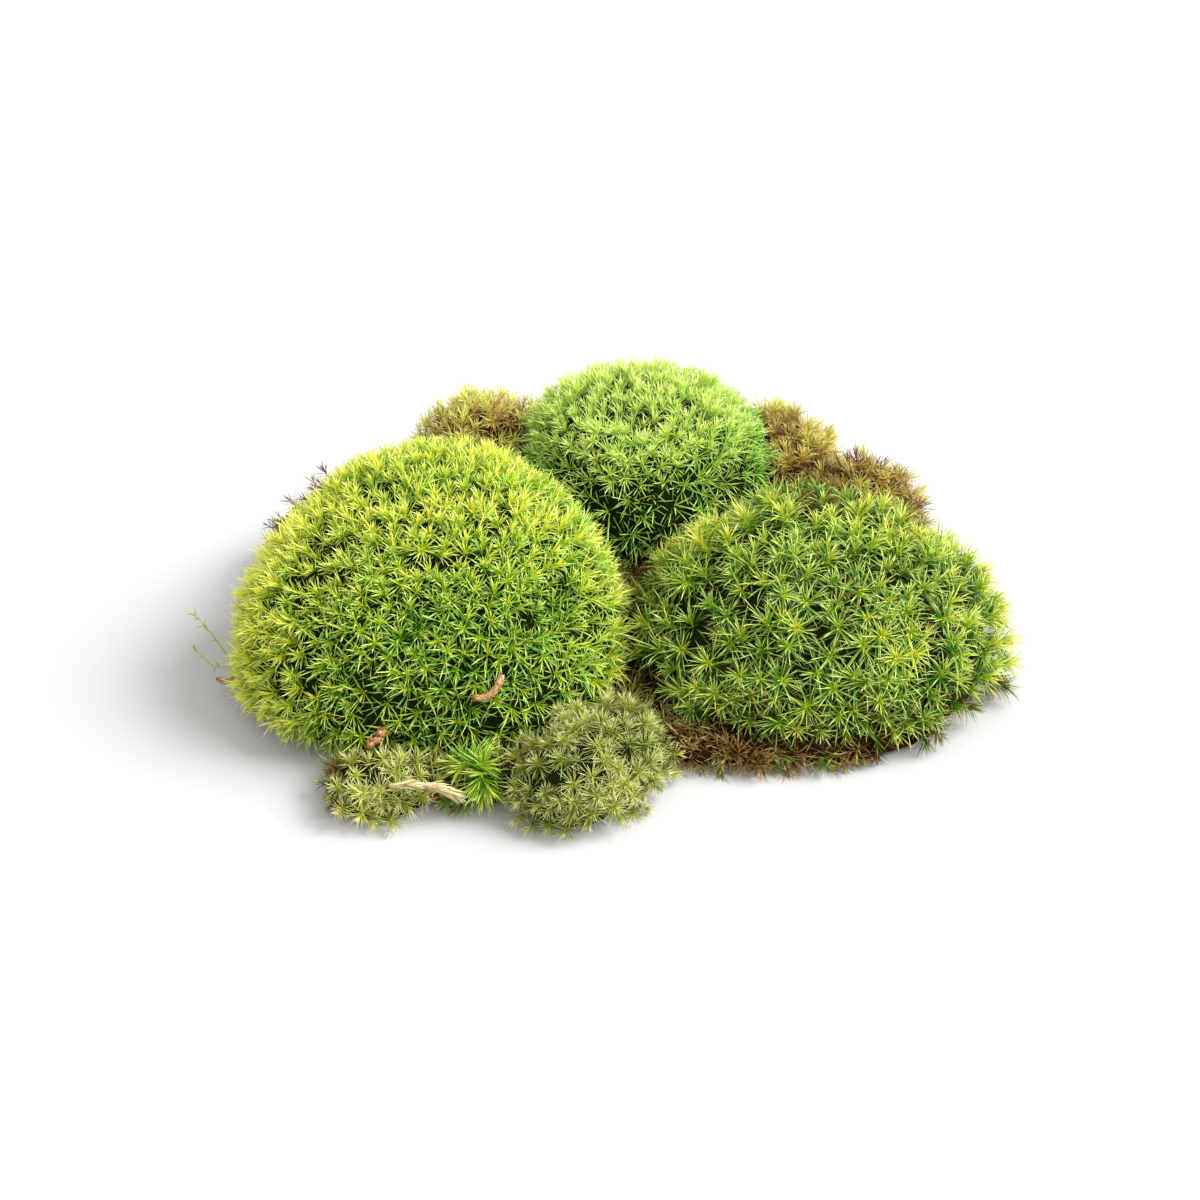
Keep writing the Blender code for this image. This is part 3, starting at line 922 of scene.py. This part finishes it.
def add_ramp(nodes, stops):
    """A colour ramp node through (place, colour code) stops."""
    node = nodes.new("ShaderNodeValToRGB")
    elements = node.color_ramp.elements
    while len(elements) < len(stops):
        elements.new(0.5)
    for element, (at, code) in zip(elements, stops):
        element.position = at
        element.color = colour(code)
    return node


def add_noise(nodes, links, scale, vector):
    """The output of fine noise over a vector."""
    noise = nodes.new("ShaderNodeTexNoise")
    noise.inputs["Scale"].default_value = scale
    links.new(vector, noise.inputs["Vector"])
    return noise.outputs["Fac"]


# The matted dead stems deep inside, so dark that they are partly painted shade for the gaps between
# shoots: (noise value, colour).
HEARTS = {
    "green_heart": [(0.3, "0e1404"), (0.5, "161f06"), (0.75, "262e0b")],
    "brown_heart": [(0.3, "160e05"), (0.5, "261808"), (0.75, "3c2a12")],
}
HEART_GRAIN = 60.0


def heart_material(name):
    """The dull, dark material of a cushion's core, partly the colour of dead stems and partly painted
    shade.
    """
    if name in bpy.data.materials:
        return bpy.data.materials[name]
    mat, nodes, links, shader, uv = new_material(name)
    shader.inputs["Roughness"].default_value = 1.0
    shader.inputs["Specular IOR Level"].default_value = 0.0
    tones = add_ramp(nodes, HEARTS[name])
    links.new(add_noise(nodes, links, HEART_GRAIN, uv), tones.inputs["Fac"])
    links.new(tones.outputs["Color"], shader.inputs["Base Color"])
    return mat


MIDDLE_FROM, MIDDLE_FULL = 0.02, 0.25  # places along a leaf where its middle colour starts and is full
# The paler tip colour is partly the leaf's own and partly a painted highlight.
TIP_FROM, TIP_FULL = 0.35, 0.90        # and its tip's
STREAKS = (3.0, 70.0, 1.0)             # how often brightness changes along a leaf, and from leaf to leaf
STREAK_NOISE = (0.25, 0.75)            # noise values that stand for the darkest and the brightest
STREAK_VALUE = (0.75, 1.2)             # what these multiply the brightness by
LEAF_ROUGHNESS = 0.42
LEAF_SPECULAR = 0.3
LEAF_GLOW = 0.3                        # share of the light that shows through


def palette_colour(nodes, links, palette, uv):
    """The palette's colour for a place along the leaf (U) and a shade (V)."""
    parts = nodes.new("ShaderNodeSeparateXYZ")
    links.new(uv, parts.inputs[0])
    at_base, in_middle, at_tip = (
        add_ramp(nodes, [(row[0], row[column]) for row in PALETTES[palette]]) for column in (1, 2, 3))
    for node in (at_base, in_middle, at_tip):
        links.new(parts.outputs["Y"], node.inputs["Fac"])
    blended = at_base.outputs["Color"]
    for low, high, node in ((MIDDLE_FROM, MIDDLE_FULL, in_middle), (TIP_FROM, TIP_FULL, at_tip)):
        span = nodes.new("ShaderNodeMapRange")
        span.interpolation_type = "SMOOTHSTEP"
        span.inputs["From Min"].default_value = low
        span.inputs["From Max"].default_value = high
        links.new(parts.outputs["X"], span.inputs["Value"])
        mix = nodes.new("ShaderNodeMix")
        mix.data_type = "RGBA"
        factor, first, second = (mix.inputs[k] for k in (0, 6, 7))
        links.new(span.outputs["Result"], factor)
        links.new(blended, first)
        links.new(node.outputs["Color"], second)
        blended = mix.outputs[2]
    return blended


def streaked(nodes, links, plain, uv):
    """A colour made brighter and darker in fine streaks."""
    stretch = nodes.new("ShaderNodeVectorMath")
    stretch.operation = "MULTIPLY"
    stretch.inputs[1].default_value = STREAKS
    links.new(uv, stretch.inputs[0])
    change = nodes.new("ShaderNodeMapRange")
    for name, value in zip(("From Min", "From Max", "To Min", "To Max"), STREAK_NOISE + STREAK_VALUE):
        change.inputs[name].default_value = value
    links.new(add_noise(nodes, links, 1.0, stretch.outputs["Vector"]), change.inputs["Value"])
    tone = nodes.new("ShaderNodeHueSaturation")
    links.new(plain, tone.inputs["Color"])
    links.new(change.outputs["Result"], tone.inputs["Value"])
    return tone.outputs["Color"]


def leaf_material(palette, glow=LEAF_GLOW):
    """Leaves in a palette's colours, with some light showing through."""
    if palette in bpy.data.materials:
        return bpy.data.materials[palette]
    mat, nodes, links, shader, uv = new_material(palette)
    tone = streaked(nodes, links, palette_colour(nodes, links, palette, uv), uv)
    links.new(tone, shader.inputs["Base Color"])
    shader.inputs["Roughness"].default_value = LEAF_ROUGHNESS
    shader.inputs["Specular IOR Level"].default_value = LEAF_SPECULAR
    through = nodes.new("ShaderNodeBsdfTranslucent")
    links.new(tone, through.inputs["Color"])
    both = nodes.new("ShaderNodeMixShader")
    both.inputs["Fac"].default_value = glow
    links.new(shader.outputs["BSDF"], both.inputs[1])
    links.new(through.outputs["BSDF"], both.inputs[2])
    links.new(both.outputs["Shader"], nodes["Material Output"].inputs["Surface"])
    return mat


# --- stage -------------------------------------------------------------------------------------------

CAMERA_ABOVE = radians(38)
CAMERA_DISTANCE = 0.75
SENSOR_WIDTH = 36                      # millimetres
LOOK_AT = Vector((-0.0015, -0.0144, 0.020))
SHOWN_ACROSS = 0.336                   # width of the picture at LOOK_AT
FLOOR_REACH = 4.0
FLOOR_COLOUR = (0.42, 0.42, 0.42, 1)
SKY_COLOUR = (1, 1, 1, 1)
SKY_STRENGTH = 1.22
SUN_FROM = Vector((0.72, 0.10, 0.60))
SUN_STRENGTH = 6.8
SUN_ANGLE = radians(38)                # how wide it is, which softens the shadows


def place_camera(scene):
    back = Vector((0, -cos(CAMERA_ABOVE), sin(CAMERA_ABOVE)))
    camera = bpy.data.objects.new("camera", bpy.data.cameras.new("camera"))
    camera.data.sensor_width = SENSOR_WIDTH
    camera.data.lens = SENSOR_WIDTH * CAMERA_DISTANCE / SHOWN_ACROSS
    camera.data.clip_start = 0.01
    camera.location = LOOK_AT + back * CAMERA_DISTANCE
    camera.rotation_euler = back.to_track_quat("Z", "Y").to_euler()
    scene.collection.objects.link(camera)
    scene.camera = camera


def lay_floor(scene):
    mesh = bpy.data.meshes.new("floor")
    corners = [(x * FLOOR_REACH, y * FLOOR_REACH, 0) for x, y in ((-1, -1), (1, -1), (1, 1), (-1, 1))]
    mesh.from_pydata(corners, [], [(0, 1, 2, 3)])
    floor = bpy.data.objects.new("floor", mesh)
    pale = bpy.data.materials.new("floor")
    pale.use_nodes = True
    shader = pale.node_tree.nodes["Principled BSDF"]
    shader.inputs["Base Color"].default_value = FLOOR_COLOUR
    shader.inputs["Roughness"].default_value = 0.9
    mesh.materials.append(pale)
    scene.collection.objects.link(floor)


def light(scene):
    world = bpy.data.worlds.new("sky")
    world.use_nodes = True
    background = world.node_tree.nodes["Background"]
    background.inputs["Color"].default_value = SKY_COLOUR
    background.inputs["Strength"].default_value = SKY_STRENGTH
    scene.world = world
    key = bpy.data.objects.new("key", bpy.data.lights.new("key", "SUN"))
    key.data.energy = SUN_STRENGTH
    key.data.angle = SUN_ANGLE
    key.rotation_euler = SUN_FROM.to_track_quat("Z", "Y").to_euler()
    scene.collection.objects.link(key)


def set_stage():
    scene = bpy.context.scene
    place_camera(scene)
    lay_floor(scene)
    light(scene)
    scene.view_settings.view_transform = "Standard"


set_stage()
for node, moss in CUSHIONS.items():
    grow(node, moss)
build_litter()
build_sprigs()
